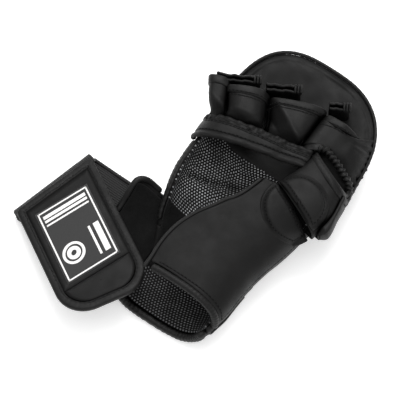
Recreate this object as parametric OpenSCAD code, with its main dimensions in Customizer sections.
// Open-palm sparring glove for the right hand, lying on the back of the hand.
// Millimetres. +Y runs from the wrist to the fingers, +X to the thumb, +Z out of the palm.
// The origin is on the flat of the back of the hand, where the glove rests.

/* [Hand] */
// Half width across the palm, outside
hand_half_w = 63.5; // [60:0.5:68]
// Half width at the end of the cuff, outside
cuff_half_w = 47; // [44:1:50]
// Height of the palm panel above the surface at the hand
hand_h = 60; // [58:1:62]
// Height of the cuff
cuff_h = 52; // [50:1:56]
// Where the back of the hand ends and the knuckle pad begins
hand_front_y = 28; // [26:1:29]
// Where the cuff begins
cuff_front_y = -51; // [-54:1:-49]
// Mean end of the cuff
cuff_end_y = -106.5; // [-110:0.5:-102]

/* [Padding] */
// Padding under the hand, cover and lining included
back_pad_t = 20; // [16:1:21]
// Padding at the wrist, cover and lining included
cuff_pad_t = 9; // [8:1:11]
// Padding on the sides
side_pad_t = 6; // [5:0.5:7]
// Leather cover
cover_t = 2; // [1.6:0.2:2.4]
// Perforated lining
lining_t = 1.2; // [1:0.2:1.6]
// Gap left between two sewn layers
layer_gap = 0.2; // [0.2:0.1:0.3]

/* [Knuckle pad] */
// Half width of the knuckle pad
pad_half_w = 69.5; // [66:0.5:72]
// Front of the knuckle pad
pad_front_y = 147; // [140:1:150]
// Widest place of the knuckle pad
pad_mid_y = 66; // [60:1:70]
// Height of the face that the fingers rest on
pad_face_z = 27; // [25:0.5:27.5]
// Height of the rim at the front
pad_rim_z = 37; // [34:1:40]
// Radius of the piping round the pad
piping_r = 2.2; // [1.8:0.1:2.6]

/* [Palm bar] */
// Height of the top of the bar
bar_top_z = 60.5; // [58:0.5:61]
// Slope of the bar across the hand
bar_slope = 0.2; // [0.18:0.01:0.22]
// Radius of its rolled edges
roll_r = 2.6; // [2.2:0.1:3]

/* [Finger loops] */
// Wall of a loop
loop_wall = 2; // [1.6:0.2:2.4]
// Length of the rolled hem
hem_len = 7; // [6:0.5:8]
// Length of a divider across its finger
divider_len = 23; // [20:1:24]

/* [Thumb] */
// Length of the stall along the thumb
stall_len = 42; // [38:1:43]
// Extra length of the side next to the pad
stall_slant = 8; // [4:1:8]
// Half height of the stall
stall_half_h = 15.2; // [14:0.5:16]
// Angle of the thumb outwards from the fingers
thumb_turn = 22.5; // [20:0.5:25]

/* [Strap] */
// Width of the wrist strap
strap_w = 80; // [76:1:82]
// Length of the folded tab along its middle
tab_len = 130; // [120:1:134]
// Thickness of the tab at its binding
tab_t = 5; // [4:0.5:5.5]
// Skew of the fold line
fold_skew = 15; // [12:1:16]
// Rise of the tab from the fold to its free end
tab_rise = 12; // [11:0.5:13]
// Width of the binding round the tab
binding_w = 8; // [7:0.5:9]

/* [Hidden] */

leather = [0.09, 0.09, 0.088];
shine = [0.13, 0.13, 0.125];
mesh_grey = [0.2, 0.2, 0.2];
foam_grey = [0.35, 0.35, 0.36];
white = [0.9, 0.9, 0.86];
roundness = 2.6;      // superellipse exponent of the hand's section
flat_depth = 2.5;     // how far the round section is cut flat underneath
sleeve_n = 20;        // points round a loop or stall

// ---------- helpers ----------
function blend(a, b, t) = a + (b - a) * t;
function ease(t) = let (c = min(1, max(0, t))) c * c * (3 - 2 * c);
function spow(v, n) = sign(v) * pow(abs(v), 2 / n);
function steps(n) = [for (i = [0:n]) i / n];
function total(v, i = 0) = i < len(v) ? v[i] + total(v, i + 1) : 0;
function mean(v) = total(v) / len(v);

// Closed solid between two grids of points; the first grid is the side that rows x columns face
module slab(top, low) {
    cols = len(top[0]);
    rows = len(top);
    n = rows * cols;
    skin = [for (i = [0:rows - 2]) for (j = [0:cols - 2])
        let (a = i * cols + j, b = a + 1, c = a + cols + 1, d = a + cols)
        each [[a, b, c], [a, c, d], [n + a, n + c, n + b], [n + a, n + d, n + c]]];
    long_sides = [for (i = [0:rows - 2])
        let (a = i * cols, d = a + cols, b = a + cols - 1, c = b + cols)
        each [[n + a, a, d], [n + a, d, n + d], [n + b, c, b], [n + b, n + c, c]]];
    ends = [for (j = [0:cols - 2])
        let (a = j, b = j + 1, d = n - cols + j, c = d + 1)
        each [[n + b, b, a], [n + b, a, n + a], [n + c, d, c], [n + c, n + d, d]]];
    polyhedron([each [for (row = top) each row], each [for (row = low) each row]],
        concat(skin, long_sides, ends));
}

// Closed solid through a row of rings that turn right-handed along the row
module loft(rings) {
    k = len(rings);
    m = len(rings[0]);
    walls = [for (i = [0:k - 2]) for (j = [0:m - 1])
        let (a = i * m + j, b = i * m + (j + 1) % m, c = b + m, d = a + m)
        each [[a, c, b], [a, d, c]]];
    caps = [for (j = [0:m - 1]) let (b = (j + 1) % m)
        each [[k * m, j, b], [k * m + 1, (k - 1) * m + b, (k - 1) * m + j]]];
    ends = [for (r = [rings[0], rings[k - 1]]) [for (c = [0:2]) mean([for (p = r) p[c]])]];
    polyhedron([each [for (r = rings) each r], each ends], concat(walls, caps));
}

// Hollow sleeve between outer and inner rings that turn right-handed along the row
module sleeve(outer, inner) {
    k = len(outer);
    m = len(outer[0]);
    n = k * m;
    walls = [for (i = [0:k - 2]) for (j = [0:m - 1])
        let (a = i * m + j, b = i * m + (j + 1) % m, c = b + m, d = a + m)
        each [[a, c, b], [a, d, c], [n + a, n + b, n + c], [n + a, n + c, n + d]]];
    ends = [for (j = [0:m - 1]) let (b = (j + 1) % m, e = (k - 1) * m)
        each [[j, b, n + b], [j, n + b, n + j],
              [e + j, n + e + b, e + b], [e + j, n + e + j, n + e + b]]];
    polyhedron([each [for (r = outer) each r], each [for (r = inner) each r]],
        concat(walls, ends));
}

// Round or flattened bead along a path; "up" is the direction of its height
module bead(path, r, h = 0, n = 8, up = [0, 0, 1]) {
    last = len(path) - 1;
    height = h == 0 ? r : h;
    function along(i) = let (d = path[min(last, i + 1)] - path[max(0, i - 1)]) d / norm(d);
    loft([for (i = [0:last])
        let (side = cross(along(i), up), s = side / norm(side), u = cross(s, along(i)))
        [for (j = [0:n - 1]) path[i] + r * cos(j * 360 / n) * s - height * sin(j * 360 / n) * u]]);
}

// ---------- the hand's section ----------
function half_w(y) = lookup(y, [[-128, cuff_half_w], [-75, cuff_half_w + 4.6], [-45, 54],
    [0, hand_half_w - 1], [30, hand_half_w + 2.5]]);
function mid_x(y) = lookup(y, [[-128, -3], [-45, -3], [0, -3.5], [30, -2]]);
function top_z(y) = lookup(y, [[-128, cuff_h - 2], [-100, cuff_h + 2], [-45, 56],
    [0, hand_h], [30, hand_h + 1]]);
function pad_t(y) = lookup(y, [[-128, cuff_pad_t], [-60, cuff_pad_t + 1], [-35, 15],
    [0, back_pad_t], [30, back_pad_t + 4]]);

// Point of the section at y and angle a (0 thumb side, 90 palm, 180 little finger, 270 back),
// drawn in by side, raised by low and lowered by high
function section(y, a, side = 0, low = 0, high = 0) =
    let (top = top_z(y) - high, bottom = low - flat_depth,
         x = mid_x(y) + (half_w(y) - side) * spow(cos(a), roundness),
         z = (top + bottom) / 2 + (top - bottom) / 2 * spow(sin(a), roundness))
    [x, y, max(low, z)];

// End of the cuff round the wrist, longer on the back
function cuff_end(a) = cuff_end_y + 9.5 * sin(a) + 2.5 * cos(a);
// Free edge of the back cover on the little finger's side
function back_edge(y) = lookup(y, [[-130, 212], [-51, 207], [-40, 192], [-28, 183], [28, 180]]);
// Free edge of the palm panel
function palm_edge(y) = lookup(y, [[-130, 110], [-47, 110], [-36, 104], [-21, 95],
    [1, 88], [27, 84]]);

// ---------- layers of the back ----------
back_cols = 13;
// Surface of the back at a depth of [side, share of the padding, fixed part], short of the
// thumb's side by a number of columns
function back_surface(y0, y1, depth, short) =
    [for (v = steps(7)) [for (j = [0:back_cols - short])
        let (u = j / back_cols,
            start = is_undef(y0) ? cuff_end(blend(205, 358, u)) : y0, y = blend(start, y1, v))
        section(y, blend(back_edge(y), 358, u), depth[0], depth[1] * pad_t(y) + depth[2])]];

module back_layer(y0, y1, outer, inner, short = 0)
    slab(back_surface(y0, y1, outer, short), back_surface(y0, y1, inner, short));

outside = [0, 0, 0];
cover_in = [cover_t, 0, cover_t];
foam_out = [cover_t + layer_gap, 0, cover_t + layer_gap];
foam_in = [side_pad_t - lining_t - layer_gap, 1, -lining_t - layer_gap];
lining_out = [side_pad_t - lining_t, 1, -lining_t];
lining_in = [side_pad_t, 1, 0];

module back_hand_cover() color(leather) back_layer(cuff_front_y, hand_front_y, outside, cover_in);
module back_hand_foam() color(foam_grey)
    back_layer(cuff_front_y, hand_front_y, foam_out, foam_in, short = 1);
module hand_lining() color(mesh_grey)
    back_layer(cuff_front_y, hand_front_y, lining_out, lining_in, short = 2);
module cuff_back_cover() color(leather) back_layer(undef, cuff_front_y - 0.5, outside, cover_in);
module cuff_foam() color(foam_grey) back_layer(undef, cuff_front_y - 0.5, foam_out, foam_in);
module cuff_lining() color(mesh_grey) back_layer(undef, cuff_front_y - 0.5, lining_out, lining_in);

// ---------- knuckle pad ----------
// Outline: round in front, fuller on the little finger's side, nearly straight at the hand
function pad_reach(t) = sin(t) > 0 ? pad_front_y - pad_mid_y : pad_mid_y - hand_front_y - 1.5;
function pad_xy(t, r) =
    let (n = sin(t) < 0 ? 5 : cos(t) < 0 ? 3.2 : 2.4)
    [r * pad_half_w * spow(cos(t), n), pad_mid_y + r * pad_reach(t) * spow(sin(t), n)];
// The rim climbs from the hand to the front, later on the thumb's side
function pad_lift(t) = ease((pad_xy(t, 1)[1] - hand_front_y - (cos(t) > 0 ? 17 : 0)) / 45);
function pad_rim(t) = blend(pad_face_z, pad_rim_z, pad_lift(t));
function pad_low(t, r) = max(0, blend(9, pad_rim(t) - 3, pad_lift(t)) * pow(r, 3.2) * 1.04 - 1);
function pad_high(t, r) = blend(pad_face_z, pad_rim(t), pow(r, 3));
// Angles round the outline, even in front and crowded into the two rear corners
corner_steps = [for (k = [1:5]) asin(pow(k * 0.175, 2.5))];
pad_angles = [each [for (t = [0:10:170]) t], 180, each [for (c = corner_steps) 180 + c],
    each [for (k = [4:-1:1]) 270 - corner_steps[k - 1]], 270,
    each [for (k = [1:4]) 270 + corner_steps[k - 1]],
    each [for (k = [5:-1:1]) 360 - corner_steps[k - 1]]];
function pad_ring(r, level, low) = [for (t = pad_angles)
    let (p = pad_xy(t, r))
    [p[0], p[1], low ? pad_low(t, r) + level : pad_high(t, r) + level]];
pad_radii = [0.15, 0.4, 0.6, 0.76, 0.88, 0.96, 1];

module knuckle_cover() color(leather)
    loft([for (r = pad_radii) each [pad_ring(r, 0, true)],
          for (i = [len(pad_radii) - 1:-1:0]) pad_ring(pad_radii[i] * 0.975, cover_t, true)]);

module knuckle_foam() color(foam_grey)
    loft([for (r = pad_radii) pad_ring(r * 0.965, cover_t + 2 * layer_gap, true),
          for (i = [len(pad_radii) - 1:-1:0]) pad_ring(pad_radii[i] * 0.965, -1.8, false)]);

module knuckle_inner_face() color(leather)
    loft([for (r = pad_radii) pad_ring(r * 0.965, -1.5, false),
          for (i = [len(pad_radii) - 1:-1:0]) pad_ring(pad_radii[i] * 0.965, 0, false)]);

module knuckle_piping() color(shine)
    bead([for (t = [-8:8:188]) let (p = pad_xy(t, 1))
        [p[0], p[1], pad_rim(t) + piping_r - 0.6]], piping_r);

// ---------- edges of the back ----------
module pinky_edge_binding() color(shine)
    bead([for (y = [-46:7:24]) let (o = section(y, back_edge(y)),
            i = section(y, back_edge(y), side_pad_t, pad_t(y)), d = (i - o) / norm(i - o))
        (o + i) / 2 + 2.4 * [-d[2], 0, d[0]]], 3.8, 1.7, up = [-0.8, 0, 0.6]);

module cuff_back_binding() color(shine)
    bead([for (a = [214:12:358])
        section(cuff_end(a) - 5.2, a, 4.2, 4.2)], 2.8, 4);

// Loop fastener on the outside of the cuff, on the thumb's side
patch_gap = 0.3;
patch_t = 1.2;
function patch_surface(rise) = [for (v = steps(5)) [for (u = steps(6))
    section(blend(-104, -62, v), blend(312, 352, u), -rise, -rise)]];
module loop_patch() color(foam_grey)
    slab(patch_surface(patch_gap + patch_t), patch_surface(patch_gap));

// ---------- palm panel ----------
groove_x = 17;
groove_y = 26.5;
groove_slope = 0.404;
// Front of the palm panel, along the crease where the thumb bends
function panel_front(a) =
    let (x = section(15, a)[0]) groove_y - max(0, x - groove_x) * groove_slope - 2.5;
function panel_surface(depth, first = 2, trim = 0, rows = 10, cols = 12) =
    [for (v = steps(rows)) [for (u = steps(cols))
        let (guess = blend(2, 100, u), y0 = cuff_end(guess) + 8, y = blend(y0, panel_front(guess), v))
        section(y, blend(first, palm_edge(y) - trim, u), depth, depth, depth)]];

module palm_panel() color(leather) slab(panel_surface(0), panel_surface(cover_t));
module palm_panel_lining() color(mesh_grey)
    slab(panel_surface(cover_t + layer_gap, 6, 3), panel_surface(cover_t + 1.8, 6, 3));

module palm_opening_piping() color(shine)
    bead([for (y = [-92:8:20]) section(y, palm_edge(y), 1, 1, 1) - [2.6, 0, 0]], 1.7);

module cuff_palm_binding() color(shine)
    bead([for (a = [2:9:110]) section(cuff_end(a) + 4.6, a, 1.4, 1.4, 1.4)], 3, 2.8);

// ---------- thumb ----------
dir = [sin(thumb_turn), cos(thumb_turn), 0];
across = [cos(thumb_turn), -sin(thumb_turn), 0];
up = [0, 0, 1];
stall_root = [45, 16, 0];
stall_z = 48.4;
function stall_half(s) = lookup(s, [[0, 26.5], [20, 25], [stall_len, 20.5]]);
function stall_drift(s) = lookup(s, [[0, 0], [20, -3], [stall_len, -12]]);
// Point of the stall at s along it and angle a round it, sunk by depth
function stall(s, a, depth = 0) =
    stall_root + s * (1 + stall_slant / stall_len * (1 - sin(a)) / 2) * dir
    + (stall_drift(s) + (stall_half(s) - depth) * spow(cos(a), 2.3)) * across
    + (stall_z + (stall_half_h - depth) * spow(sin(a), 2.3)) * up;
function stall_ring(s, depth) = [for (j = [0:sleeve_n - 1]) stall(s, -j * 360 / sleeve_n, depth)];
stall_base = 3;
hem_start = stall_len - hem_len;
stall_rows = [stall_base, 12, 20, 28, hem_start];
lining_rows = [stall_base + 4, 12, 20, 28, hem_start];
module stall_sleeve(rows, d0, d1)
    sleeve([for (s = rows) stall_ring(s, d0)], [for (s = rows) stall_ring(s, d1)]);

module thumb_stall() color(leather) stall_sleeve(stall_rows, 0, loop_wall);
module thumb_lining() color(mesh_grey) stall_sleeve(lining_rows, loop_wall + layer_gap, 3.2);
module thumb_hem() color(shine) stall_sleeve([hem_start + layer_gap, stall_len - 3, stall_len], -0.6, 2.6);
module thumb_edge_cord() color(shine)
    bead([for (a = [180:12.5:330]) stall(stall_len, a, 1.2) + 1.9 * dir], 1.6);

// Padded D either side of the crease: half an ellipse on the top of the panel
d_half_w = 24;
function on_top(s, w, rise) =
    stall_root + s * dir + w * across + (stall_z + stall_half_h + rise) * up;
module d_pad(depth_along, side, base, height) {
    rows = [0.04, 0.3, 0.6, 0.85, 1];
    function edge(t, r) = [side * (2.6 + depth_along * r * sin(t)), d_half_w * r * cos(t) - 2];
    function crown(r) = height * (1 - pow(r, 2.4));
    low = [for (r = rows) [for (t = [0:15:180]) let (e = edge(t, r)) base(e[0], e[1], 0)]];
    high = [for (r = rows) [for (t = [0:15:180]) let (e = edge(t, r)) base(e[0], e[1], 0.8 + crown(r))]];
    if (side > 0) slab(high, low); else slab(low, high);
}
function d_on_stall(s, w, rise) =
    let (k = min(0.985, abs(w - stall_drift(s)) / stall_half(s)),
         z = stall_z + stall_half_h * pow(1 - pow(k, 2.3), 1 / 2.3))
    stall_root + s * dir + w * across + (z + 0.5 + rise) * up;
function d_on_panel(s, w, rise) =
    let (p = stall_root + s * dir + w * across,
         k = min(0.985, abs(p[0] - mid_x(p[1])) / half_w(p[1])),
         top = top_z(p[1]),
         z = (top - flat_depth) / 2
             + (top + flat_depth) / 2 * pow(1 - pow(k, roundness), 1 / roundness))
    [p[0], p[1], z + 1.1 + rise];
module thumb_flex_pad() color(leather) d_pad(24, 1, function(s, w, r) d_on_stall(s, w, r), 3);
module thumb_base_pad() color(leather) d_pad(24, -1, function(s, w, r) d_on_panel(s, w, r), 3);

strip_gap = 0.3;
strip_t = 2;
function strip_surface(rise) =
    [for (s = [stall_base, 12, 20, 28, hem_start - 0.4]) [for (a = [-36:18:18]) stall(s, a, -rise)]];
module thumb_side_strip() color(leather)
    slab(strip_surface(strip_gap + strip_t), strip_surface(strip_gap));

// ---------- palm bar ----------
bar_mid_x = -24;
bar_half = 44;
bar_foot_z = 31;
function bar_front(x) = 51 + (x + 63) * bar_slope;
function bar_rear(x) = bar_front(x) - lookup(x, [[-63, 25], [20, 19]]);
function bar_point(t, y, depth = 0) =
    [bar_mid_x + (bar_half - depth) * spow(cos(t), 3), y,
     bar_foot_z + (bar_top_z - bar_foot_z - depth) * spow(sin(t), 3)];
function bar_x(t) = bar_point(t, 0)[0];
function bar_grid(trim, depth) = [for (t = [180:-12:0])
    let (f = bar_front(bar_x(t)) - trim, r = bar_rear(bar_x(t)) + trim)
    [for (v = steps(3)) bar_point(t, blend(r, f, v), depth)]];
module palm_bar_cover() color(leather) slab(bar_grid(5.4, 0), bar_grid(5.4, 1.4));
module palm_bar_core() color(foam_grey) slab(bar_grid(5.4, 1.6), bar_grid(5.4, 3.6));
module bar_roll(front) color(shine)
    bead([for (u = steps(15)) let (t = blend(168, 8, u), x = bar_x(t))
        bar_point(t, front ? bar_front(x) - roll_r : bar_rear(x) + roll_r, 2)], roll_r, 2.4);
module palm_bar_front_roll() bar_roll(true);
module palm_bar_rear_roll() bar_roll(false);

// ---------- finger loops ----------
// Each: middle x at the hem, middle z, half width at the hem, half height, base y, hem y,
// slope of the hem, lean of the finger to the side, slope of the base, half width at the base
pinky = [-79.5, 50.5, 8.2, 8.7, 55, 79, 0.4, -0.56, 0.2, 8];
ring = [-52.5, 49, 15.8, 13.5, 61, 83.7, 0.49, -0.57, 0.2, 15.4];
middle = [-8.2, 47, 22.7, 15.5, 70, 98, 0.42, -0.18, 0.25, 18];
index = [32.8, 46.5, 17.6, 15, 81, 104, 0.03, 0, 0.5, 17.6];
function loop_point(f, y, a, depth) =
    let (v = (y - f[4]) / (f[5] - f[4]),
         dx = (blend(f[9], f[2], v) - depth) * spow(cos(a), 2.8))
    [f[0] + (y - f[5]) * f[7] + dx, y + dx * blend(f[8], f[6], v),
     f[1] + (f[3] - depth) * spow(sin(a), 2.8)];
function loop_ring(f, y, depth) =
    [for (j = [0:sleeve_n - 1]) loop_point(f, y, -j * 360 / sleeve_n, depth)];
module loop_sleeve(f, rows, d0, d1)
    sleeve([for (y = rows) loop_ring(f, y, d0)], [for (y = rows) loop_ring(f, y, d1)]);
module finger_loop(f) color(leather)
    loop_sleeve(f, [f[4], (f[4] + f[5] - hem_len) / 2, f[5] - hem_len], 0.9, 0.9 + loop_wall);
module finger_hem(f) color(shine)
    loop_sleeve(f, [f[5] - hem_len + layer_gap, f[5] - 2, f[5]], 0.2, 3.4);
divider_t = 6.5;
divider_turn = 31;
// Folded strip that stands beyond a hem between two fingers: [start x, start y, foot, top, length]
module divider(d) color(leather)
    translate([d[0], d[1], d[2]])
        rotate([0, 0, divider_turn])
            linear_extrude(d[3] - d[2])
                union() {
                    translate([0, -divider_t / 2]) square([d[4], divider_t]);
                    translate([d[4], 0]) circle(d = divider_t, $fn = 32);
                }
module pinky_loop() finger_loop(pinky);
module ring_loop() finger_loop(ring);
module middle_loop() finger_loop(middle);
module index_loop() finger_loop(index);
module pinky_hem() finger_hem(pinky);
module ring_hem() finger_hem(ring);
module middle_hem() finger_hem(middle);
module index_hem() finger_hem(index);
module ring_divider() divider([-69, 84, 42, 56, divider_len]);
module middle_divider() divider([-35.5, 97, 33, 56, divider_len]);
module index_divider() divider([18, 113.5, 35, 56, divider_len / 2]);

// ---------- wing of the cuff and strap ----------
wing_root_x = -52;
wing_span = 31;
wing_front_y = -32;
wing_rear_y = -116;
wing_droop = 7;
function wing_point(u, v, lift) =
    let (front = wing_front_y - wing_droop * pow(u, 6), y = blend(wing_rear_y, front, v),
         free = 6 * ease((y + 58) / 14), x = wing_root_x - 2.6 - free * (1 - u) - wing_span * u)
    [x, y, 9.5 + (4 + 11 * ease((y + 60) / 26)) * pow(u, 1.6) + lift];
function wing_grid(lift, trim = 0) = [for (u = steps(6)) [for (v = steps(8))
    wing_point(trim + u * (1 - 2 * trim), trim + v * (1 - 2 * trim), lift)]];
module cuff_wing() color(leather) slab(wing_grid(0), wing_grid(2));
module wing_lining() color(foam_grey) slab(wing_grid(2.5, 0.07), wing_grid(3.7, 0.07));
wing_edge_gap = 2.6;
function front_normal(u) =
    let (n = [-6 * wing_droop * pow(u, 5), wing_span, 0]) n / norm(n);
module wing_piping() color(shine)
    bead([for (v = [0:0.125:1]) wing_point(1, v, 1.6) - [wing_edge_gap, 0, 0],
          each [for (u = [0.95:-0.17:0.3]) wing_point(u, 1, 1.6) + wing_edge_gap * front_normal(u)]], 2.3);

strap_top_y = -32;
web_root_x = -58;
fold_top = [-137, strap_top_y];
fold_len = strap_w / cos(fold_skew);
fold_low = fold_top - fold_len * [sin(fold_skew), cos(fold_skew)];
fold_mid = (fold_top + fold_low) / 2;
web_t = 4;
module strap_web() color(mesh_grey)
    translate([0, 0, 0.6])
        linear_extrude(web_t)
            polygon([fold_top + [0.6, 0], fold_low + [0.6, 0],
                [web_root_x, fold_low[1]], [web_root_x, strap_top_y]]);

// Outline of the tab in its own plane: x from the fold to the free end
module tab_outline(inset = 0, from = -strap_w, to = tab_len) {
    half = strap_w / 2 - inset;
    far = tab_len - inset;
    corner = 25 - inset / 2;
    near = inset + 0.6;
    intersection() {
        union() {
            translate([0, -half]) square([far - corner, 2 * half]);
            translate([0, corner - half]) square([far, 2 * half - 2 * corner]);
            for (s = [-1, 1]) translate([far - corner, s * (half - corner)]) circle(corner, $fn = 64);
            polygon([[0, half], [0, -half], [-half * tan(fold_skew), half]]);
        }
        polygon([[near - half * tan(fold_skew), half], [to, half], [to, -half],
            [near + half * tan(fold_skew), -half]]);
        translate([from, -half]) square([far - from, 2 * half]);
    }
}
fold_rise = 8.5;      // height of the tab's underside at the fold
label_end = 96;       // where the face ends and the end panel begins
label_start = 22;     // where the label begins
label_margin = 14;    // leather left either side of the label
module on_tab()
    translate([fold_mid[0], fold_mid[1], fold_rise])
        rotate([0, 0, -2 * fold_skew])
            rotate([0, -tab_rise, 0])
                children();
module tab_layer(z, t, inset, from = -strap_w, to = tab_len)
    on_tab() translate([0, 0, z]) linear_extrude(t) tab_outline(inset, from, to);
module tab_binding() color(shine)
    difference() {
        tab_layer(0, tab_t, 0);
        tab_layer(-1, tab_t + 2, binding_w);
    }
module tab_face() color(leather) tab_layer(2.4, 2, binding_w + layer_gap, to = label_end);
module tab_end_panel() color(leather)
    tab_layer(2.4, 2.4, binding_w + layer_gap, from = label_end + 0.6);
module tab_backing() color(mesh_grey) tab_layer(0.9, 1.3, binding_w + layer_gap);
module hook_patch() color(foam_grey) tab_layer(-0.5, 1.2, binding_w + 2);
module label_patch() color(white)
    on_tab() translate([label_start, label_margin - strap_w / 2, 4.5])
        linear_extrude(0.5) square([label_end - 2 - label_start, strap_w - 2 * label_margin]);

knuckle_cover();
knuckle_foam();
knuckle_inner_face();
knuckle_piping();
back_hand_cover();
back_hand_foam();
hand_lining();
pinky_edge_binding();
cuff_back_cover();
cuff_foam();
cuff_lining();
cuff_back_binding();
loop_patch();
palm_panel();
palm_panel_lining();
palm_opening_piping();
cuff_palm_binding();
thumb_base_pad();
palm_bar_cover();
palm_bar_core();
palm_bar_front_roll();
palm_bar_rear_roll();
thumb_stall();
thumb_lining();
thumb_hem();
thumb_edge_cord();
thumb_flex_pad();
thumb_side_strip();
pinky_loop();
ring_loop();
middle_loop();
index_loop();
pinky_hem();
ring_hem();
middle_hem();
index_hem();
ring_divider();
middle_divider();
index_divider();
cuff_wing();
wing_lining();
wing_piping();
strap_web();
tab_face();
tab_end_panel();
tab_backing();
tab_binding();
label_patch();
hook_patch();
